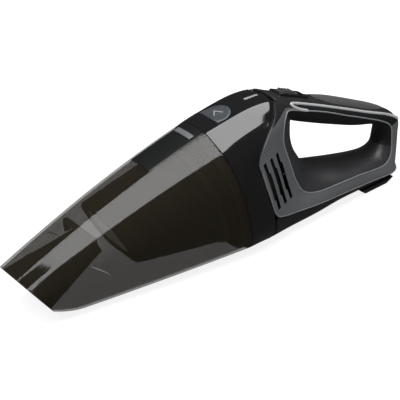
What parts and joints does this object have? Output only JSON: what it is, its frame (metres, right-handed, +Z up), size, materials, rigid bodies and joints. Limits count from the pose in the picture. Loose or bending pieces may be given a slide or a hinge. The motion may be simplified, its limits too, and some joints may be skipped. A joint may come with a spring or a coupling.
{
  "type": "handheld vacuum",
  "caption": "Cordless handheld vacuum with a smoked see-through dust cup, slanted mouth, inner filter and flap, fan and motor, and a loop handle with slide switch and release button.",
  "frame": {"origin": "middle of the flat base, at the height of the surface that it rests on", "axes": "+X from the nose to the rear of the handle, +Y to the right-hand side, +Z up"},
  "size_m": [0.4012, 0.108, 0.121],
  "materials": {
    "smoked_plastic": "clear smoked polycarbonate, glossy",
    "gloss_black": "high gloss",
    "satin_black": "satin moulded",
    "matte_charcoal": "fine matte texture",
    "button_grey": "satin blue-grey",
    "soft_black": "soft-touch",
    "steel": "plain steel",
    "copper": "enamelled copper and laminations",
    "bronze": "sintered bronze",
    "magnet": "sintered ferrite",
    "light_plastic": "natural moulded",
    "cell_wrap": "shrink-wrapped",
    "board_green": "coated circuit board",
    "lens_white": "frosted light window",
    "filter_cloth": "woven filter cloth",
    "foam": "open-cell foam"
  },
  "bodies": {
    "body": {"motor_collar": "gloss_black", "front_bulkhead": "satin_black", "cup_seal": "soft_black", "fan_housing": "satin_black", "motor_can": "steel", "motor_end_cap": "satin_black", "motor_magnets": "magnet", "motor_bushes": "bronze", "motor_mount": "soft_black", "handle_left_shell": "matte_charcoal", "handle_right_shell": "matte_charcoal", "spine_cover": "satin_black", "grip_inlay": "soft_black", "base_cover": "satin_black", "rear_foot": "soft_black", "battery_cells": "cell_wrap", "battery_holder": "satin_black", "battery_tabs": "steel", "circuit_board": "board_green", "charge_jack": "satin_black", "led_lens": "lens_white", "switch_bezel": "gloss_black", "switch_module": "satin_black", "latch_pin": "steel", "latch_bracket": "satin_black", "release_spring": "steel", "exhaust_foam": "foam", "shell_screws": "steel"},
    "cup": {"dust_cup": "smoked_plastic", "intake_duct": "satin_black", "flap_pin": "steel"},
    "flap": {"intake_flap": "soft_black"},
    "filter": {"filter_frame": "satin_black", "filter_cloth": "filter_cloth", "filter_seal": "soft_black"},
    "latch": {"release_button": "button_grey", "latch_hook": "satin_black"},
    "switch": {"power_switch": "soft_black"},
    "fan": {"impeller": "light_plastic", "motor_shaft": "steel", "motor_rotor": "copper"}
  },
  "joints": [
    {"name": "cup_slide", "type": "slide", "parent": "body", "child": "cup", "axis": [-1, 0, 0], "range_m": [0, 0.22]},
    {"name": "filter_slide", "type": "slide", "parent": "body", "child": "filter", "axis": [-1, 0, 0], "range_m": [0, 0.088]},
    {"name": "flap_hinge", "type": "hinge", "parent": "cup", "child": "flap", "pos_m": [-0.131, 0, 0.0566], "axis": [0, -1, 0], "range_deg": [0, 38]},
    {"name": "release_press", "type": "hinge", "parent": "body", "child": "latch", "pos_m": [0.027, 0, 0.1135], "axis": [0, -1, 0], "range_deg": [0, 4], "stiffness_Nm_per_rad": 1, "springref_deg": -2.86},
    {"name": "switch_slide", "type": "slide", "parent": "body", "child": "switch", "axis": [0.9304, 0, -0.3665], "range_m": [0, 0.006]},
    {"name": "fan_spin", "type": "hinge", "parent": "body", "child": "fan", "pos_m": [-0.00225, 0, 0.057], "axis": [0.9832, 0, 0.1824], "continuous": true}
  ],
  "couplings": [
    {"joint": "filter_slide", "follows": "cup_slide", "ratio": 0.4}
  ]
}
